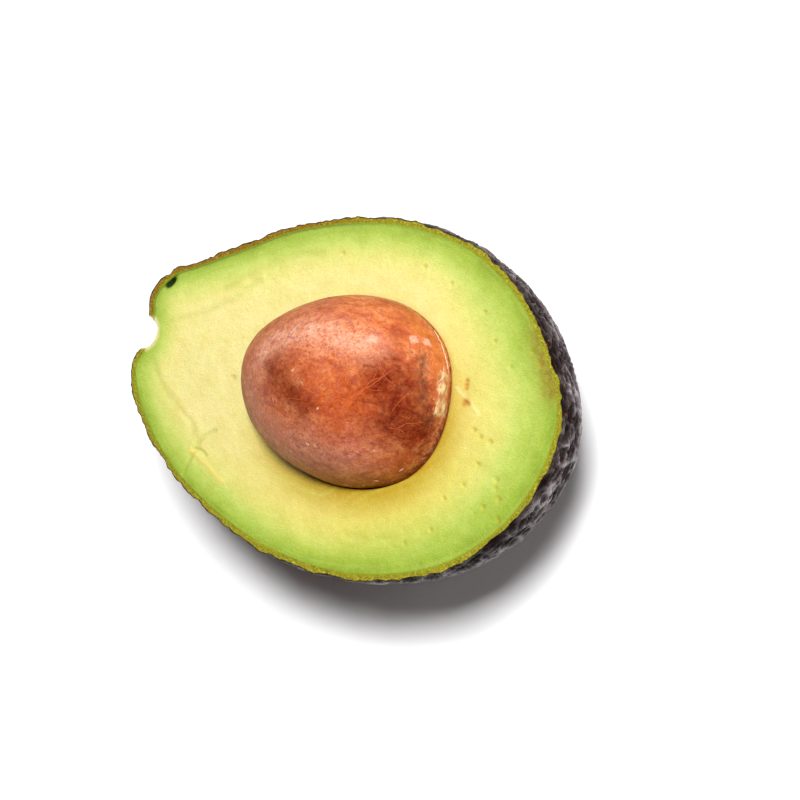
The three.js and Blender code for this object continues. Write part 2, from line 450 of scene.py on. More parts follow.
DARK_HOLE = (-54.1, 12.0)
DARK_HOLE_RADII = (1.7, 0.9)
DARK_HOLE_ALONG = np.array([0.66, 0.75])
DARK_HOLE_DEPTH = 1.3
BRUISE = [(37.4, 19.4), (40.6, 14.2), (43.2, 9.6)]
BRUISE_RADIUS = 2.4
MARK_DEPTH = 0.35  # of a crack, a spot or a pit


def hole_distance(flat):
    """Distance from the dark hole at the neck's rim, in its radii."""
    away = flat - DARK_HOLE
    lengthwise = away @ DARK_HOLE_ALONG / DARK_HOLE_RADII[0]
    across = away @ np.array([-DARK_HOLE_ALONG[1], DARK_HOLE_ALONG[0]]) / DARK_HOLE_RADII[1]
    return np.hypot(lengthwise, across)


def spot_mask(flat, spots):
    """1 in the middle of each round spot, fading to 0 round it."""
    mask = np.zeros(len(flat))
    for x, y, radius in spots:
        mask = np.maximum(mask, fading(np.hypot(flat[:, 0] - x, flat[:, 1] - y), 0.8 * radius))
    return mask


def make_rind():
    """The pebbled skin, with the band that the knife laid bare."""
    def raised(smooth, rise, turn):
        relief = skin_relief(smooth) * np.clip(smooth[:, 2] / SOLE_HEIGHT, 0, 1)
        heights.append(relief)
        ring = smooth + outwards(rise, turn) * relief[:, None]
        ring[:, 2] = np.clip(ring[:, 2], 0, FACE_HEIGHT)
        return ring

    def skin_ring(rise, turn):
        return raised(fruit_surface(rise, turn, 0), rise, turn)

    heights = []
    skin = opening_rings(RIND_RINGS, skin_ring)[:-1]
    heights.pop()
    around = turns(SIDE_POINTS)
    at_face = np.ones(SIDE_POINTS)
    below = fruit_surface(at_face - 1 / RIND_RINGS, around, 0)
    brink = fruit_surface(at_face, around, 0)
    for share in np.arange(1, WALL_RINGS + 1) / WALL_RINGS:
        skin.append(raised(below + (brink - below) * share, at_face, around))
    outer = skin[-1]
    inner = np.column_stack([outline_at(around, RIND_WALL), np.full(SIDE_POINTS, FACE_HEIGHT)])
    band = []
    for share in BAND_SHARES:
        ring = outer + (inner - outer) * share
        crumbs = CRUMB_HEIGHT * rough_noise(ring, CRUMB_SIZE, salt=71, octaves=2)
        crumbs *= math.sin(share * math.pi)
        ring[:, 2] += np.minimum(crumbs - BAND_SLOPE * (1 - share), BAND_TOP)
        band.append(ring)
    inside = opening_rings(INNER_RINGS, lambda rise, turn: fruit_surface(rise, turn, RIND_WALL))[::-1]
    piece = ring_object("rind_skin", [*skin, *band, *inside[1:]])

    points = points_of(piece)
    skin_points = sum(len(ring) for ring in skin)
    across = np.repeat(BAND_SHARES, SIDE_POINTS)
    inner_points = len(points) - skin_points - len(across)
    paint(piece, "across", np.concatenate([np.zeros(skin_points), across, np.ones(inner_points)]))
    paint(piece, "relief", np.concatenate([*heights, np.zeros(len(points) - skin_points)]))
    paint(piece, "ochre", smooth_step(5, -25, points[:, 0]) * smooth_step(-8, 10, points[:, 1]))
    cut_stem_pit(piece)
    points = points_of(piece)
    paint(piece, "pit", 1 - smooth_step(1.03, 1.12, pit_shape(points)))
    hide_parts("rind")
    return piece


def face_height(flat, edge, stone, gap):
    """Height of the cut face over its plane: knife marks, cracks, pits and rounded edges."""
    level = np.column_stack([flat, np.zeros(len(flat))])
    height = 0.12 * smooth_noise(level, 14, salt=81) + 0.06 * smooth_noise(level, 4, salt=82)
    height += 0.03 * rough_noise(level, 0.9, salt=83, octaves=2)
    height *= smooth_step(0, 1.5, edge)
    broken = 0.5 + 0.5 * smooth_noise(level, 3.0, salt=84)
    for arc in KNIFE_ARCS:
        away = stroke_distance(flat, arc)
        height += broken * (0.07 * fading(away - 1.3, 0.8) - 0.1 * fading(away, 0.7))
    for crack in (CRACK, CRACK_BRANCH):
        height -= MARK_DEPTH * fading(stroke_distance(flat, crack), 0.35)
    height += 0.12 * fading(stroke_distance(flat, STREAK), 0.5)
    for x, y, radius in PITS + BROWN_SPOTS:
        height -= MARK_DEPTH * fading(np.hypot(flat[:, 0] - x, flat[:, 1] - y), 0.6 * radius)
    height += 0.08 * fading(stroke_distance(flat, MEMBRANE), 0.3)
    height -= DARK_HOLE_DEPTH * fading(hole_distance(flat), 1)
    height -= (0.12 + gap) * (1 - smooth_step(0, 1.4, stone)) ** 2
    return height


def crevice(turn):
    """How far the stone has come away from the flesh, round the stone."""
    from_middle = np.mod(turn * 360 - GAP_MIDDLE + 180, 360) - 180
    return LEAST_GAP + ADDED_GAP * fading(from_middle, GAP_SPREAD)


def make_flesh():
    """The cut flesh with the hollow that the stone lies in."""
    around = turns(SIDE_POINTS)
    outer = outline_at(around, RIND_WALL)
    stone_edge = seed_points(np.zeros(SIDE_POINTS), around, 0)[:, :2]
    gap = crevice(around)
    lip = seed_points(np.zeros(SIDE_POINTS), around, gap)[:, :2]
    outside = opening_rings(INNER_RINGS, lambda rise, turn: fruit_surface(rise, turn, FLESH_INSET))
    hollow = opening_rings(SEED_RINGS // 4, lambda rise, turn: seed_points(rise - 1, turn, HIDDEN_GAP))
    face = []
    for share in [0, FIRST_FACE_SHARE, *(np.arange(1, FACE_RINGS + 1) / FACE_RINGS)]:
        flat = outer + (lip - outer) * share
        edge = nearest_distance(flat, outer)
        stone = nearest_distance(flat, stone_edge)
        face.append(np.column_stack([flat, FACE_HEIGHT + face_height(flat, edge, stone, gap)]))
    lower_lip = seed_points(np.full(SIDE_POINTS, -LIP_DEPTH), around, np.maximum(gap, HIDDEN_GAP))
    piece = ring_object("flesh_body", [*outside[:-1], *face, lower_lip, *hollow[-3::-1]])
    cut_stem_pit(piece)
    paint_flesh(piece, stone_edge)
    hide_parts("flesh")
    return piece


def paint_flesh(piece, stone_edge):
    """Paints where the flesh changes colour: at the rind, at the stone and at each mark, and where painted
    shade darkens it below the stone.
    """
    points = points_of(piece)
    flat = points[:, :2]
    edge = nearest_distance(flat, OUTLINE) - RIND_WALL
    stone = nearest_distance(flat, stone_edge)
    angle = np.arctan2(flat[:, 1] - SEED_CENTRE[1], flat[:, 0] - SEED_CENTRE[0])
    facing_wide_end = np.cos(angle + math.radians(12))
    green_width = 1 + 0.95 * smooth_step(0.15, 0.95, facing_wide_end)
    green_width -= 0.15 * smooth_step(-20, -45, flat[:, 0])
    paint(piece, "edge", np.maximum(edge, 0) / green_width)
    paint(piece, "stone", stone)
    # Painted shade: highest below and to the right of the stone, away from the light, and nought on its
    # upper left
    paint(piece, "shade", smooth_step(-0.35, 0.9, np.cos(angle + math.radians(62))))
    paint(piece, "pit", 1 - smooth_step(1.03, 1.3, pit_shape(points)))
    paint(piece, "brown", spot_mask(flat, BROWN_SPOTS))
    paint(piece, "pits", spot_mask(flat, PITS))
    paint(piece, "hole", fading(hole_distance(flat), 1))
    paint(piece, "bruise", fading(stroke_distance(flat, BRUISE), BRUISE_RADIUS))
    # Painted shade: the flesh is painted darker green along the crack and the knife marks, in their grooves
    crack = np.minimum(stroke_distance(flat, CRACK), stroke_distance(flat, CRACK_BRANCH))
    arcs = np.minimum.reduce([stroke_distance(flat, arc) for arc in KNIFE_ARCS])
    paint(piece, "lines", 0.7 * fading(crack, 0.55) + 0.4 * fading(arcs, 0.8))
    paint(piece, "neck_rim", smooth_step(0, -20, flat[:, 0]) * smooth_step(-5, 10, flat[:, 1]))
    paint(piece, "streak", fading(stroke_distance(flat, STREAK), 0.6))
    paint(piece, "membrane", fading(stroke_distance(flat, MEMBRANE), 0.4))


# Places on the stone, in millimetres from its middle. Each scrap has its size too.

SCAR = [(22.9, 6.6, 2.4), (23.6, 3.6, 2.6), (24.0, 0.8, 2.0)]
SMUDGE = [(20.0, 9.8, 6.8), (20.9, 7.7, 7.5), (22.2, 3.9, 7.3), (23.1, -0.1, 6.0), (23.5, -2.4, 3.4)]
ORANGE_END = [(15.5, 14.8, 4.6), (18.8, 12.7, 3.6), (21.4, 8.6, 3.6)]
# Painted shade: the stone's right side, away from the light, laid over a real dark red-brown
DARK_RED_AND_SHADE = [(18.0, 3.4, 13.5), (20.2, 1.2, 11.3), (19.7, -3.6, 11.0), (22.8, -4.2, 5.0)]
DEEP_LEFT = [(-6.0, 0.3, 17.8), (-1.0, -3.0, 18.6), (3.4, -5.1, 18.3)]
WARM_MIDDLE = [(4.8, -1.0, 19.0), (9.5, -3.0, 17.8), (13.8, -2.5, 16.4), (11.2, -7.0, 16.1)]
# Painted highlight: the pale band lies where the light falls on the stone's upper left, over a somewhat
# paler coat
PALE_BAND_AND_HIGHLIGHT = [(-10.7, 2.8, 15.7), (-8.2, 5.7, 15.9), (-4.7, 7.6, 16.4), (-0.6, 9.0, 16.4), (13.0, 8.5, 14.6)]
PALE_SPOTS = [(17.3, 12.4, 7.6), (18.5, 12.6, 4.9), (12.4, 10.5, 13.9)]
GREY_EDGE = [
    (-12.0, -6.0, 13.0), (-9.0, -10.4, 13.1), (-3.0, -13.5, 11.8), (4.5, -12.0, 14.3), (12.0, -11.0, 13.0),
]
MEMBRANE_EDGE = [
    (16.4, 15.4, 0.6), (18.5, 13.5, 0.9), (20.3, 11.4, 1.2), (21.7, 9.3, 0.9), (22.6, 7.6, 0.9),
]
MEMBRANE_STEPS = 40
MEMBRANE_LIFT = 0.1
MEMBRANE_WOBBLE = 0.05
MEMBRANE_RADIUS = 0.08
LOOSE_END = (21.7, 9.3, 2.0)
LOOSE_END_HEADING = (0.3, -1, 0.2)
LOOSE_END_LENGTH = 5
LOOSE_END_BEND = 0.15
LOOSE_END_RADIUS = 0.05
SCRAPS = [
    (-10.0, 2.3, 16.1, 1.0), (2.5, -1.1, 19.1, 0.7), (-0.5, 0.7, 18.9, 0.8), (-4.1, -5.6, 17.3, 0.5),
    (7.1, -5.0, 18.0, 0.6), (4.5, -12.0, 14.3, 0.8), (6.1, -11.9, 14.3, 0.7), (-1.1, -14.6, 11.4, 0.6),
    (16.7, -10.0, 10.2, 0.5), (17.3, 12.4, 7.6, 0.9), (7.0, -18.0, 2.2, 1.1), (13.9, -15.7, 2.8, 1.2),
    (18.9, -12.2, 2.6, 0.9), (1.5, -18.2, 3.0, 0.8), (10.6, -17.4, 1.6, 0.9),
]
SCRAP_SIDES = 18
SCRAP_RADIUS = 0.42  # as a share of its size
SCRAP_RINGS = ((0.6, -0.08), (1.0, 0.01), (0.7, 0.06))  # share of its radius, and height over the stone
SCRAP_FOOT = -0.08
SCRAP_TOP = 0.05

# The veins, in millimetres and degrees

VEIN_HUB = (12.0, -1.3, 17.4)
HUB_HEADINGS = (160, 142, 190, 26, 4, -24)
HUB_VEIN_RADIUS = 0.05
OTHER_VEINS = 44
OTHER_VEIN_RADIUS = 0.035
VEIN_SIDES = 5
VEIN_STEP = 0.45
VEIN_BEND = 0.16
TWIG_BEND = 0.1
TWIG_SPACING = 4
TWIG_THICKNESS = 0.7  # share of its vein's radius
BEND_MEMORY = 0.7  # share of a step's bend that the next step keeps


def stroke_blob(points, knots, radius):
    """1 along a bent stroke over the stone, fading to 0 about a radius away."""
    best = np.full(len(points), 99.0)
    for start, end in zip(np.array(knots, float), np.array(knots[1:], float)):
        length = max((end - start) @ (end - start), 1e-9)
        along = np.clip(((points - start) @ (end - start)) / length, 0, 1)
        best = np.minimum(best, np.linalg.norm(points - start - along[:, None] * (end - start), axis=1))
    return fading(best, radius)


def make_seed():
    """The stone in its papery coat."""
    def place(height, turn):
        smooth = seed_points(height, turn, 0)
        local = smooth - SEED_CENTRE
        straight_out = local / SEED_RADII ** 2
        straight_out /= np.linalg.norm(straight_out, axis=1)[:, None]
        wrinkles = 0.13 * rough_noise(smooth, np.array([6, 3, 3]), salt=91, octaves=4)
        wrinkles -= 0.05 * np.abs(rough_noise(smooth, np.array([1.6, 0.8, 0.8]), salt=95, octaves=2))
        wrinkles -= 0.3 * stroke_blob(local, SMUDGE, 1.4)
        wrinkles += 0.55 * stroke_blob(local, SCAR, 1.6) * (0.7 + 0.5 * smooth_noise(smooth, 1.3, salt=97))
        return smooth + straight_out * wrinkles[:, None]

    lower = opening_rings(SEED_RINGS // 2, lambda rise, turn: place(rise - 1, turn))
    upper = opening_rings(SEED_RINGS, lambda rise, turn: place(1 - rise, turn))[::-1]
    piece = ring_object("seed_coat", [*lower[:-1], *upper])
    local = points_of(piece) - SEED_CENTRE
    paint(piece, "scar", stroke_blob(local, SCAR, 2.0))
    paint(piece, "smudge", stroke_blob(local, SMUDGE, 1.3))
    paint(piece, "orange", stroke_blob(local, ORANGE_END, 2.8))
    deep_left = 0.8 * stroke_blob(local, DEEP_LEFT, 3.5)
    # Painted shade on the right side, together with the real dark patch on the left
    paint(piece, "dark_red_and_shade", np.maximum(stroke_blob(local, DARK_RED_AND_SHADE, 6.5), deep_left))
    paint(piece, "warm", stroke_blob(local, WARM_MIDDLE, 5.0))
    # Painted highlight at the stone's upper left
    paint(piece, "pale", stroke_blob(local, PALE_BAND_AND_HIGHLIGHT, 3.4))
    spots = [stroke_blob(local, [spot, spot], 1.3) for spot in PALE_SPOTS]
    paint(piece, "spots", np.maximum.reduce(spots))
    paint(piece, "grey", stroke_blob(local, GREY_EDGE, 6.5))
    paint(piece, "foot", 1 - smooth_step(0.2, 3.0, local[:, 2]))
    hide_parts("seed")
    return piece


def on_stone(coat, point):
    """The nearest place on the stone to a point given from its middle, and the way out of it there."""
    _, place, normal, _ = coat.closest_point_on_mesh(Vector((np.asarray(point) + SEED_CENTRE) * MM))
    return np.array(place) / MM - SEED_CENTRE, np.array(normal)


def tube(path, normals, radius):
    """Rings of a thin tapered tube along a path on the stone, half sunk in it."""
    angle = turns(VEIN_SIDES)[:, None] * 2 * math.pi
    rings = [path[:1]]
    for k in range(1, len(path) - 1):
        ahead = path[k + 1] - path[k - 1]
        ahead = ahead / np.linalg.norm(ahead)
        aside = np.cross(ahead, normals[k])
        thick = radius * min(1, 6 * (1 - k / (len(path) - 1)))
        rings.append(path[k] + thick * (np.cos(angle) * aside + np.sin(angle) * normals[k]))
    rings.append(path[-1:])
    return rings


def wander(coat, start, heading, length, random, bend):
    """A path that wanders over the stone from a place, with the way out at each of its points."""
    place, normal = on_stone(coat, start)
    ahead = np.array(heading, float)
    path, normals = [place], [normal]
    drift = random.uniform(-bend, bend)
    for _ in range(max(int(length / VEIN_STEP), 4)):
        drift = BEND_MEMORY * drift + random.uniform(-bend, bend)
        ahead = ahead - (ahead @ normal) * normal
        ahead = ahead / np.linalg.norm(ahead)
        ahead = ahead * math.cos(drift) + np.cross(normal, ahead) * math.sin(drift)
        place, normal = on_stone(coat, place + VEIN_STEP * ahead)
        path.append(place)
        normals.append(normal)
    return np.array(path), np.array(normals)


def joined_rings(name, groups):
    """One mesh object from several ring skins."""
    points, faces, start = [], [], 0
    for rings in groups:
        joined = np.concatenate(rings)
        faces += [tuple(start + index for index in face) for face in zip_rings(rings)]
        points.append(joined)
        start += len(joined)
    return mesh_object(name, np.concatenate(points) + SEED_CENTRE, faces)


def vein_starts(random):
    """The place, heading, length and radius of each vein."""
    starts = []
    for heading in HUB_HEADINGS:
        starts.append((random.normal(VEIN_HUB, 1.6), heading, random.uniform(7, 14), HUB_VEIN_RADIUS))
    for _ in range(OTHER_VEINS):
        lift, angle = random.uniform(0.2, 1.4), random.uniform(0, 2 * math.pi)
        level = math.cos(lift)
        spot = SEED_RADII * (level * math.cos(angle), level * math.sin(angle), math.sin(lift))
        heading = random.choice([0, 180]) + random.normal(0, 20)
        starts.append((spot, heading, random.uniform(3, 9), OTHER_VEIN_RADIUS))
    return starts


def make_fibres(coat):
    """Fine branching veins on the stone's coat, with headings measured from the view's right."""
    random = np.random.default_rng(7)
    right = np.array(camera_axes()[0])
    tubes = []
    for spot, angle, length, radius in vein_starts(random):
        normal = on_stone(coat, spot)[1]
        level = right - (right @ normal) * normal
        level = level / np.linalg.norm(level)
        turn = math.radians(angle)
        heading = level * math.cos(turn) + np.cross(normal, level) * math.sin(turn)
        path, normals = wander(coat, spot, heading, length, random, VEIN_BEND)
        tubes.append(tube(path, normals, radius))
        for _ in range(int(length / TWIG_SPACING)):
            k = random.integers(2, len(path) - 2)
            side = random.choice([-1, 1]) * random.uniform(0.4, 0.9)
            ahead = path[k + 1] - path[k]
            heading = ahead * math.cos(side) + np.cross(normals[k], ahead) * math.sin(side)
            twig_length = length * random.uniform(0.15, 0.45)
            twig, twig_normals = wander(coat, path[k], heading, twig_length, random, TWIG_BEND)
            tubes.append(tube(twig, twig_normals, TWIG_THICKNESS * radius))
    piece = joined_rings("seed_fibres", tubes)
    return piece


def make_membrane(coat):
    """The strip of white skin between the stone and the flesh, and its loose end."""
    random = np.random.default_rng(11)
    knots = np.array(MEMBRANE_EDGE)
    share = np.linspace(0, len(knots) - 1, MEMBRANE_STEPS)
    path = np.column_stack([np.interp(share, np.arange(len(knots)), knots[:, n]) for n in range(3)])
    path, normals = np.array([on_stone(coat, point) for point in path]).transpose(1, 0, 2)
    path = path + MEMBRANE_LIFT * normals
    path = path + random.normal(0, MEMBRANE_WOBBLE, path.shape)
    end, end_normals = wander(coat, LOOSE_END, LOOSE_END_HEADING, LOOSE_END_LENGTH, random, LOOSE_END_BEND)
    tubes = [tube(path, normals, MEMBRANE_RADIUS), tube(end, end_normals, LOOSE_END_RADIUS)]
    piece = joined_rings("seed_membrane", tubes)
    return piece


def torn_edge(normal, radius, random):
    """Steps from the middle of a scrap to its torn edge, square to the normal."""
    level = np.cross(normal, (0.2, 0.3, 1))
    level = level / np.linalg.norm(level)
    across = np.cross(normal, level)
    stretch, spin = random.uniform(1.0, 1.7), random.uniform(0, math.pi)
    waves = random.uniform(-0.3, 0.3, 6)
    steps = []
    for angle in turns(SCRAP_SIDES) * 2 * math.pi:
        ragged = 1 + sum(wave * math.cos((n + 2) * angle + 5 * wave) for n, wave in enumerate(waves))
        long_way = radius * ragged * math.cos(angle) * stretch
        short_way = radius * ragged * math.sin(angle) / stretch
        along_level = long_way * math.cos(spin) - short_way * math.sin(spin)
        along_across = long_way * math.sin(spin) + short_way * math.cos(spin)
        steps.append(level * along_level + across * along_across)
    return steps


def make_scraps(coat):
    """Dry scraps of skin and flesh that cling to the stone."""
    random = np.random.default_rng(5)
    groups = []
    for *spot, size in SCRAPS:
        centre, normal = on_stone(coat, spot)
        steps = torn_edge(normal, SCRAP_RADIUS * size, random)
        rings = [(centre + SCRAP_FOOT * normal)[None]]
        for share, height in SCRAP_RINGS:
            places = [on_stone(coat, centre + share * step) for step in steps]
            rings.append(np.array([place + height * out for place, out in places]))
        rings.append((centre + SCRAP_TOP * normal)[None])
        groups.append(rings)
    piece = joined_rings("seed_scraps", groups)
    return piece


class Nodes:
    """A short way to write a material's nodes, with sizes in millimetres and colours as on a screen."""

    def __init__(self, name):
        self.material = bpy.data.materials.new(name)
        self.material.use_nodes = True
        self.tree = self.material.node_tree
        self.shader = self.tree.nodes["Principled BSDF"]

    def add(self, kind, **settings):
        made = self.tree.nodes.new(kind)
        for key, value in settings.items():
            setattr(made, key, value)
        return made

    def link(self, source, target):
        self.tree.links.new(source, target)

    def give(self, name, value):
        """Gives the shader a number, or what comes out of a node."""
        self.set(self.shader.inputs[name], value)

    def set(self, socket, value):
        if isinstance(value, bpy.types.NodeSocket):
            self.link(value, socket)
        else:
            socket.default_value = value

    def place(self):
        return self.add("ShaderNodeTexCoord").outputs["Object"]

    def number(self, name):
        return self.add("ShaderNodeAttribute", attribute_name=name).outputs["Fac"]

    def maths(self, operation, first, second=0.0, clamp=False):
        made = self.add("ShaderNodeMath", operation=operation, use_clamp=clamp)
        self.set(made.inputs[0], first)
        self.set(made.inputs[1], second)
        return made.outputs[0]

    def stretched(self, scale):
        made = self.add("ShaderNodeMapping")
        self.link(self.place(), made.inputs["Vector"])
        made.inputs["Scale"].default_value = scale
        return made.outputs["Vector"]

    def joined(self, along, across):
        made = self.add("ShaderNodeCombineXYZ")
        self.link(along, made.inputs["X"])
        self.link(across, made.inputs["Y"])
        return made.outputs["Vector"]

    def noise(self, size, detail=2.0, rough=0.5, warp=0.0, vector=None):
        made = self.add("ShaderNodeTexNoise")
        self.link(vector or self.place(), made.inputs["Vector"])
        made.inputs["Scale"].default_value = 1 / (size * MM)
        made.inputs["Detail"].default_value = detail
        made.inputs["Roughness"].default_value = rough
        made.inputs["Distortion"].default_value = warp
        return made.outputs["Fac"]

    def swing(self, height, *noise):
        """Noise of some height that swings about nought."""
        return self.maths("MULTIPLY", self.maths("SUBTRACT", self.noise(*noise), 0.5), height)

    def broken(self, name, noise, *stops):
        """A painted number, broken up by a ramp over noise."""
        return self.maths("MULTIPLY", self.number(name), self.ramp(noise, *stops))

    def cells(self, size, feature="F1", vector=None):
        made = self.add("ShaderNodeTexVoronoi", feature=feature)
        self.link(vector or self.place(), made.inputs["Vector"])
        made.inputs["Scale"].default_value = 1 / (size * MM)
        return made.outputs["Distance"]

    def above(self, value, low, high):
        """0 below low and 1 above high."""
        made = self.add("ShaderNodeMapRange")
        self.link(value, made.inputs["Value"])
        made.inputs["From Min"].default_value = low
        made.inputs["From Max"].default_value = high
        return made.outputs["Result"]

    def ramp(self, value, *stops):
        made = self.add("ShaderNodeValToRGB")
        self.link(value, made.inputs["Fac"])
        elements = made.color_ramp.elements
        while len(elements) < len(stops):
            elements.new(0.5)
        for element, (position, colour) in zip(elements, stops):
            element.position = position
            element.color = tint(*colour) if isinstance(colour, tuple) else (colour, colour, colour, 1)
        return made.outputs["Color"]

    def mix(self, share, first, second, blend="MIX"):
        made = self.add("ShaderNodeMix", data_type="RGBA", blend_type=blend)
        self.set(made.inputs[0], share)
        self.set(made.inputs[6], tint(*first) if isinstance(first, tuple) else first)
        self.set(made.inputs[7], tint(*second) if isinstance(second, tuple) else second)
        return made.outputs[2]

    def bump(self, height, depth, below=None):
        made = self.add("ShaderNodeBump")
        made.inputs["Distance"].default_value = depth * MM
        self.link(height, made.inputs["Height"])
        if below is not None:
            self.link(below, made.inputs["Normal"])
        return made.outputs["Normal"]


def tint(red, green, blue):
    """A colour given as a screen shows it, from 0 to 255, as the linear one that a shader takes."""
    shares = [value / 255 for value in (red, green, blue)]
    return (*[s / 12.92 if s <= 0.04045 else ((s + 0.055) / 1.055) ** 2.4 for s in shares], 1)


def flesh_material():
    """Moist flesh: green at the rind, then yellow-green, pale yellow and deeper yellow at the stone, with
    painted shade that deepens that yellow below the stone.
    """
    n = Nodes("avocado_flesh")
    wobbly = n.maths("ADD", n.number("edge"), n.swing(3.4, 6, 3))
    depth = n.maths("ADD", wobbly, n.swing(1.7, 0.7, 2))
    share = n.maths("DIVIDE", depth, 16, clamp=True)
    colour = n.ramp(
        share,
        (0.0, (134, 160, 40)), (0.06, (148, 177, 54)), (0.14, (165, 189, 72)), (0.23, (184, 203, 94)),
        (0.32, (202, 211, 110)), (0.42, (216, 215, 122)), (0.56, (228, 218, 136)), (0.8, (232, 220, 148)),
    )
    # Painted shade: round the stone the flesh turns deeper and darker yellow where the painted shade is
    # high; a little of the deepest yellow stays all round the stone
    middle = n.maths("SUBTRACT", 1.0, n.maths("DIVIDE", n.number("stone"), 15, clamp=True))
    colour = n.mix(n.maths("MULTIPLY", middle, n.number("shade"), clamp=True), colour, (212, 192, 72))
    near = n.maths("SUBTRACT", 1.0, n.maths("DIVIDE", n.number("stone"), 6.5, clamp=True))
    shade = n.maths("ADD", n.maths("MULTIPLY", n.number("shade"), 0.9), 0.1)
    colour = n.mix(n.maths("MULTIPLY", near, shade, clamp=True), colour, (178, 142, 26))
    from_edge = n.maths("MULTIPLY", n.number("edge"), MM)
    from_stone = n.maths("MULTIPLY", n.number("stone"), 0.12 * MM)
    streaks = n.noise(1.6, 3, 0.55, 0.0, n.joined(from_edge, from_stone))
    colour = n.mix(n.ramp(streaks, (0.5, 0.0), (0.72, 0.34)), colour, (206, 214, 104))
    colour = n.mix(n.ramp(streaks, (0.3, 0.12), (0.48, 0.0)), colour, (222, 222, 124))
    blotch = n.ramp(n.noise(4, 4, 0.6), (0.42, 0.0), (0.75, 0.28))
    colour = n.mix(blotch, colour, (230, 214, 120), "MULTIPLY")
    colour = n.mix(n.ramp(n.noise(0.45, 2), (0.35, 0.14), (0.6, 0.0)), colour, (160, 160, 50))
    # Painted highlight: tiny pale specks stand for glints on the moist flesh
    colour = n.mix(n.ramp(n.noise(0.32, 1), (0.66, 0.0), (0.74, 0.16)), colour, (246, 246, 200))
    # Painted shade along the crack and the knife marks
    lines = n.maths("MULTIPLY", n.number("lines"), n.noise(2.5, 2), clamp=True)
    colour = n.mix(lines, colour, (168, 178, 70))
    streak = n.maths("MULTIPLY", n.number("streak"), n.noise(1.5, 3), clamp=True)
    colour = n.mix(streak, colour, (236, 206, 110))
    colour = n.mix(n.number("pit"), colour, (224, 214, 150))
    colour = n.mix(n.maths("MULTIPLY", n.number("membrane"), 0.35), colour, (240, 230, 172))
    colour = n.mix(n.maths("MULTIPLY", n.number("pits"), 0.5), colour, (192, 166, 50))
    bruise = n.broken("bruise", n.noise(0.9, 3), (0.35, 0.5), (0.6, 1.0))
    colour = n.mix(bruise, colour, (142, 116, 26))
    rim_line = n.maths("MULTIPLY", n.number("neck_rim"), n.ramp(n.number("edge"), (0.15, 1.0), (0.5, 0.0)))
    colour = n.mix(n.maths("MULTIPLY", rim_line, 0.6), colour, (66, 92, 20))
    colour = n.mix(n.maths("MULTIPLY", n.number("brown"), 0.9), colour, (186, 122, 40))
    colour = n.mix(n.above(n.number("hole"), 0.25, 0.5), colour, (28, 44, 12))
    n.give("Base Color", colour)
    shine = n.ramp(n.noise(0.5, 2), (0.3, 0.34), (0.7, 0.6))
    n.give("Roughness", shine)
    n.give("Subsurface Weight", 0.2)
    n.give("Subsurface Radius", (1.0, 0.8, 0.3))
    n.give("Subsurface Scale", 1.2 * MM)
    n.give("Specular IOR Level", 0.4)
    grain = n.bump(n.noise(0.3, 3, 0.6), 0.13)
    n.give("Normal", n.bump(n.noise(2.0, 2), 0.14, grain))
    return n.material


def rind_material():
    """Dark waxy skin with ridge tops painted paler as their sheen, and the olive band where it is cut."""
    n = Nodes("avocado_rind")
    # Painted highlight: the ridge tops and the fine net of strands are painted pale grey as the waxy skin's
    # silvery sheen
    strands = n.ramp(n.cells(1.5, "DISTANCE_TO_EDGE", n.stretched((1, 1, 1.9))), (0.0, 0.22), (0.12, 0.0))
    relief = n.maths("ADD", n.number("relief"), n.maths("MULTIPLY", n.noise(0.9, 2), 0.3))
    bloom = n.ramp(n.noise(9, 3), (0.38, 0.0), (0.62, 0.34))
    relief = n.above(n.maths("ADD", n.maths("ADD", relief, strands), bloom), -0.25, 1.3)
    skin = n.ramp(
        relief, (0.1, (8, 4, 4)), (0.35, (22, 13, 13)), (0.55, (42, 31, 31)), (0.72, (62, 51, 52)),
        (0.95, (132, 120, 124)),
    )
    mottle = n.ramp(n.noise(3.0, 3), (0.35, 0.0), (0.7, 1.0))
    skin = n.mix(n.maths("MULTIPLY", mottle, 0.35), skin, (38, 20, 16))
    dots = n.ramp(n.cells(1.7), (0.10, 1.0), (0.17, 0.0))
    skin = n.mix(n.maths("MULTIPLY", dots, 0.55), skin, (120, 70, 34))
    crumb = n.noise(0.4, 3, 0.65)
    olive = n.ramp(
        crumb, (0.3, (92, 96, 14)), (0.47, (138, 132, 34)), (0.6, (156, 146, 44)), (0.74, (206, 188, 76)),
    )
    ochre = n.ramp(
        crumb, (0.3, (90, 66, 14)), (0.47, (128, 98, 24)), (0.6, (146, 116, 34)), (0.74, (184, 152, 66)),
    )
    olive = n.mix(n.number("ochre"), olive, ochre)
    across = n.maths("ADD", n.number("across"), n.swing(0.3, 1.1, 3))
    olive = n.mix(n.ramp(across, (0.7, 0.0), (1.0, 0.9)), olive, (128, 152, 36))
    cut = n.ramp(across, (0.06, 0.0), (0.2, 1.0))
    colour = n.mix(cut, skin, olive)
    colour = n.mix(n.number("pit"), colour, (188, 176, 96))
    n.give("Base Color", colour)
    shine = n.ramp(relief, (0.2, 0.75), (0.5, 0.5), (0.8, 0.34))
    n.give("Specular IOR Level", n.ramp(relief, (0.3, 0.05), (0.6, 0.16), (0.9, 0.6)))
    n.give("Roughness", n.mix(cut, shine, n.ramp(crumb, (0.3, 0.6), (0.7, 0.75))))
    grain = n.bump(n.noise(0.3, 3, 0.6), 0.04)
    n.give("Normal", n.bump(n.noise(1.1, 3, 0.6), 0.12, grain))
    return n.material


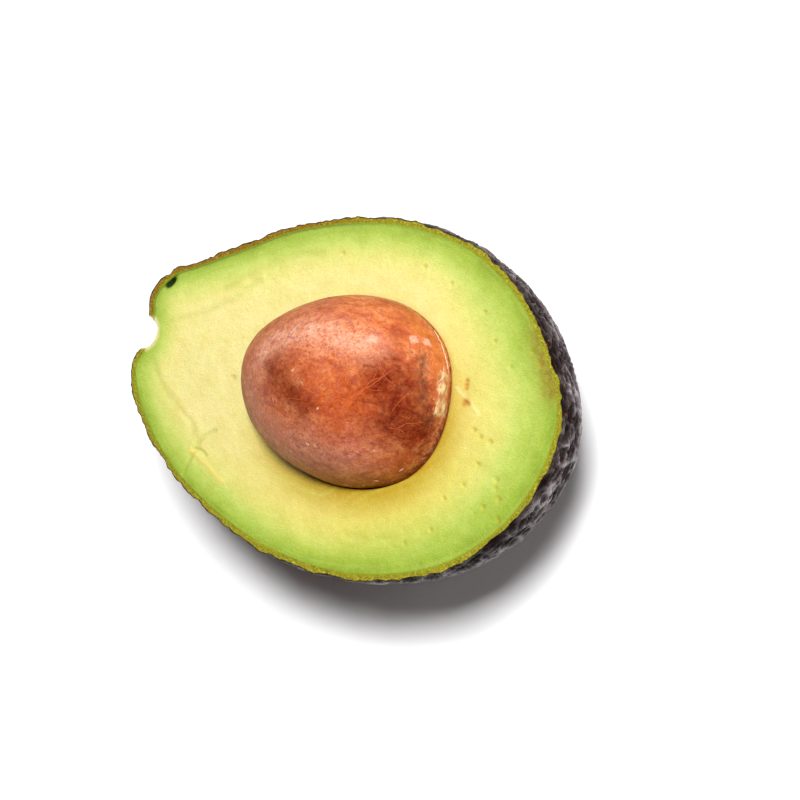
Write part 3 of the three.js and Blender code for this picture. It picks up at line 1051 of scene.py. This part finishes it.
def seed_material():
    """Papery seed coat: terracotta mottled with red-brown, orange and mauve, painted paler at the upper
    left as its highlight and darker at the right as its shade.
    """
    n = Nodes("avocado_seed")
    mottle = n.noise(5.0, 6, 0.66, 0.6, n.stretched((1.0, 1.8, 1.4)))
    colour = n.ramp(
        mottle, (0.3, (150, 54, 16)), (0.43, (186, 86, 32)), (0.54, (208, 112, 54)), (0.7, (228, 146, 92)),
    )
    grey = n.broken("grey", n.noise(1.4, 4, 0.6), (0.35, 0.3), (0.62, 0.9))
    colour = n.mix(grey, colour, (222, 150, 120))
    # Painted highlight: the pale band at the stone's upper left
    pale = n.broken("pale", n.noise(2.0, 5, 0.65), (0.34, 0.25), (0.56, 1.0))
    colour = n.mix(n.maths("MULTIPLY", pale, 0.9), colour, (250, 184, 150))
    warm = n.broken("warm", n.noise(1.8, 4, 0.6), (0.34, 0.3), (0.6, 0.85))
    colour = n.mix(warm, colour, (184, 76, 14))
    speckle = n.ramp(n.noise(0.7, 5, 0.7, 0.8), (0.48, 0.0), (0.62, 0.65))
    colour = n.mix(speckle, colour, (144, 42, 22))
    purple = n.ramp(n.noise(1.5, 6, 0.7, 0.5), (0.52, 0.0), (0.66, 0.55))
    colour = n.mix(purple, colour, (168, 78, 70))
    light = n.ramp(n.noise(0.9, 6, 0.7, 0.9, n.stretched((0.5, 1.7, 1.3))), (0.56, 0.0), (0.66, 0.4))
    colour = n.mix(light, colour, (236, 146, 92))
    # Painted shade: dark red-brown on the right side, away from the light, and on the real dark patch at
    # the left
    dark_red_and_shade = n.above(n.maths("ADD", n.number("dark_red_and_shade"), n.swing(1.5, 2.0, 6, 0.7)), 0.05, 1.05)
    dark_red_and_shade = n.maths("MULTIPLY", dark_red_and_shade, n.ramp(n.noise(0.8, 5, 0.7), (0.4, 0.78), (0.58, 1.0)))
    colour = n.mix(dark_red_and_shade, colour, (98, 20, 2))
    orange = n.broken("orange", n.noise(1.4, 5, 0.65), (0.4, 0.1), (0.58, 0.85))
    colour = n.mix(orange, colour, (194, 102, 36))
    smudge = n.broken("smudge", n.noise(1.0, 5, 0.65), (0.36, 0.1), (0.6, 1.0))
    colour = n.mix(n.maths("MULTIPLY", smudge, 0.8), colour, (72, 44, 34))
    ragged = n.maths("MULTIPLY", n.noise(1.0, 5, 0.7), 1.1)
    scar = n.above(n.maths("ADD", n.number("scar"), ragged), 0.9, 1.2)
    cream = n.ramp(
        n.noise(1.0, 5, 0.65, 0.0, n.stretched((1, 0.4, 1))),
        (0.38, (172, 98, 62)), (0.5, (202, 156, 108)), (0.64, (228, 208, 156)),
    )
    colour = n.mix(scar, colour, cream)
    torn = n.maths("MULTIPLY", n.noise(0.7, 4, 0.7), 1.8)
    spots = n.above(n.maths("ADD", n.number("spots"), torn), 1.3, 1.7)
    colour = n.mix(n.maths("MULTIPLY", spots, 0.6), colour, (236, 184, 160))
    crust = n.broken("foot", n.noise(0.8, 5, 0.7), (0.46, 0.0), (0.62, 0.85))
    colour = n.mix(crust, colour, (216, 156, 104))
    flecks = n.ramp(n.noise(0.4, 3, 0.6), (0.66, 0.0), (0.74, 0.6))
    colour = n.mix(flecks, colour, (236, 190, 160))
    n.give("Base Color", colour)
    shine = n.ramp(n.noise(1.3, 4), (0.3, 0.38), (0.7, 0.56))
    n.give("Roughness", shine)
    n.give("Specular IOR Level", n.ramp(dark_red_and_shade, (0.1, 0.42), (0.7, 0.12)))
    fibre = n.bump(n.noise(0.45, 5, 0.7, 0.6, n.stretched((0.6, 1.5, 1.2))), 0.14)
    n.give("Normal", n.bump(n.noise(2.2, 5, 0.6), 0.3, fibre))
    return n.material


def plain_material(name, low, high, roughness):
    """A colour that varies a little from place to place."""
    n = Nodes(name)
    n.give("Base Color", n.ramp(n.noise(0.8, 3), (0.35, low), (0.65, high)))
    n.give("Roughness", roughness)
    n.give("Normal", n.bump(n.noise(0.3, 2), 0.05))
    return n.material


def make_floor():
    """A wide pale floor, which isn't part of the fruit."""
    angle = turns(FLOOR_SIDES) * 2 * math.pi
    rim = np.column_stack([FLOOR_RADIUS * np.cos(angle), FLOOR_RADIUS * np.sin(angle)])
    rim = np.column_stack([rim, np.full(FLOOR_SIDES, -FLOOR_DROP)])
    floor = mesh_object("floor", rim, [tuple(range(FLOOR_SIDES))])
    n = Nodes("studio_floor")
    shade = n.ramp(n.noise(60, 2), (0.3, (252, 252, 253)), (0.7, (254, 254, 254)))
    n.give("Base Color", shade)
    n.give("Roughness", 0.7)
    n.give("Specular IOR Level", 0.2)
    floor.data.materials.append(n.material)


def camera_axes():
    """Directions to the right, up and back of the view."""
    raised, rolled = math.radians(CAMERA_ELEVATION), math.radians(CAMERA_ROLL)
    back = Vector((math.cos(raised), 0, math.sin(raised)))
    level = Vector((0, 1, 0))
    steep = back.cross(level)
    right = math.cos(rolled) * level + math.sin(rolled) * steep
    return right, back.cross(right), back


def make_camera():
    """The photograph's view of the fruit."""
    right, up, back = camera_axes()
    data = bpy.data.cameras.new("view")
    data.lens = CAMERA_LENS
    data.clip_start = 0.01
    camera = bpy.data.objects.new("view", data)
    bpy.context.scene.collection.objects.link(camera)
    aim = Vector((0, 0, FACE_HEIGHT)) - MIDDLE_IN_VIEW[0] * right - MIDDLE_IN_VIEW[1] * up
    turned = Matrix((right, up, back)).transposed().to_4x4()
    camera.matrix_world = Matrix.Translation((aim + CAMERA_DISTANCE * back) * MM) @ turned
    bpy.context.scene.camera = camera


def soft_box(name, sideways, upwards, towards, distance, power, lights=True, shines=True):
    """A square soft light, placed by where the viewer sees it, that lights things, shines or both."""
    right, up, back = camera_axes()
    away = (sideways * right + upwards * up + towards * back).normalized()
    data = bpy.data.lights.new(name, "AREA")
    data.size = LIGHT_SIZE
    data.energy = power
    light = bpy.data.objects.new(name, data)
    bpy.context.scene.collection.objects.link(light)
    light.visible_diffuse = lights
    light.visible_glossy = shines
    light.location = LIT_POINT + away * distance
    light.rotation_mode = "QUATERNION"
    light.rotation_quaternion = away.to_track_quat("Z", "Y")


def make_lights():
    """A key light over the viewer's head, a window's sheen at the upper left, a light at the wide end."""
    soft_box("key", -0.12, 0.33, 0.93, distance=1.6, power=36, shines=False)
    soft_box("window", -0.72, 0.62, 0.36, distance=1.0, power=5, lights=False)
    soft_box("rim", 0.82, 0.32, 0.72, distance=0.9, power=3)
    world = bpy.data.worlds.new("white_room")
    world.use_nodes = True
    world.node_tree.nodes["Background"].inputs["Color"].default_value = WORLD_COLOUR
    world.node_tree.nodes["Background"].inputs["Strength"].default_value = WORLD_STRENGTH
    bpy.context.scene.world = world
    bpy.context.scene.view_settings.view_transform = "Standard"


make_camera()
seed_coat = make_seed()
pieces = [
    (make_rind(), rind_material()),
    (make_flesh(), flesh_material()),
    (seed_coat, seed_material()),
    (make_fibres(seed_coat), plain_material("seed_vein", (182, 78, 30), (218, 116, 56), 0.5)),
    (make_membrane(seed_coat), plain_material("seed_skin", (214, 180, 130), (246, 232, 196), 0.5)),
    (make_scraps(seed_coat), plain_material("seed_scrap", (190, 130, 96), (228, 190, 152), 0.6)),
]
for made_piece, material in pieces:
    made_piece.data.materials.append(material)
    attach(made_piece, "root")
make_floor()
make_lights()

bpy.context.view_layer.update()
